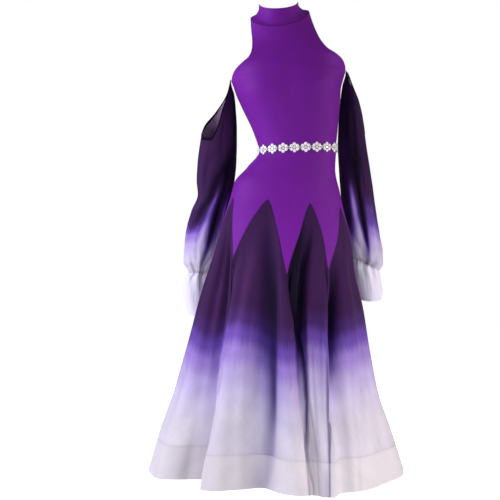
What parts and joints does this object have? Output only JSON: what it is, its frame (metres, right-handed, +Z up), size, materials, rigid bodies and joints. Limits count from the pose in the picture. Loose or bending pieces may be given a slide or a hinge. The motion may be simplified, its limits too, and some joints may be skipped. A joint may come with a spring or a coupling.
{
  "type": "ballroom dance dress",
  "caption": "High-neck halter dance dress with bare shoulders, pointed bodice, flared godet skirt, wide hem band, bishop sleeves hung from the underarm and a flower belt.",
  "frame": {"origin": "centre of the neck seam, where the wearer's neck carries the dress", "axes": "+Z up along the standing wearer, the front of the dress faces -Y, +X is the wearer's left"},
  "size_m": [0.7491, 0.6682, 1.39],
  "materials": {
    "jersey": "bright purple stretch jersey with a soft satin sheen",
    "skirt_chiffon": "matte chiffon shaded from dark aubergine at the hips through violet to near white",
    "hem_band": "near-white chiffon turned double, matte",
    "sleeve_chiffon": "matte chiffon shaded from dark aubergine at the top to pale lilac at the wrist",
    "binding": "near-black folded binding",
    "cuff": "near-white sheer chiffon",
    "belt": "white pearl and crystal flowers linked by small beads"
  },
  "bodies": {
    "root": {"bodice_back_left": "jersey", "bodice_back_right": "jersey", "bodice_front": "jersey", "collar": "jersey", "cuff_left": "cuff", "cuff_right": "cuff", "flower_belt": "belt", "hem_band": "hem_band", "skirt_panel_1": "skirt_chiffon", "skirt_panel_2": "skirt_chiffon", "skirt_panel_3": "skirt_chiffon", "skirt_panel_4": "skirt_chiffon", "skirt_panel_5": "skirt_chiffon", "skirt_panel_6": "skirt_chiffon", "skirt_panel_7": "skirt_chiffon", "skirt_panel_8": "skirt_chiffon", "sleeve_binding_left": "binding", "sleeve_binding_right": "binding", "sleeve_left": "sleeve_chiffon", "sleeve_right": "sleeve_chiffon"}
  },
  "joints": []
}
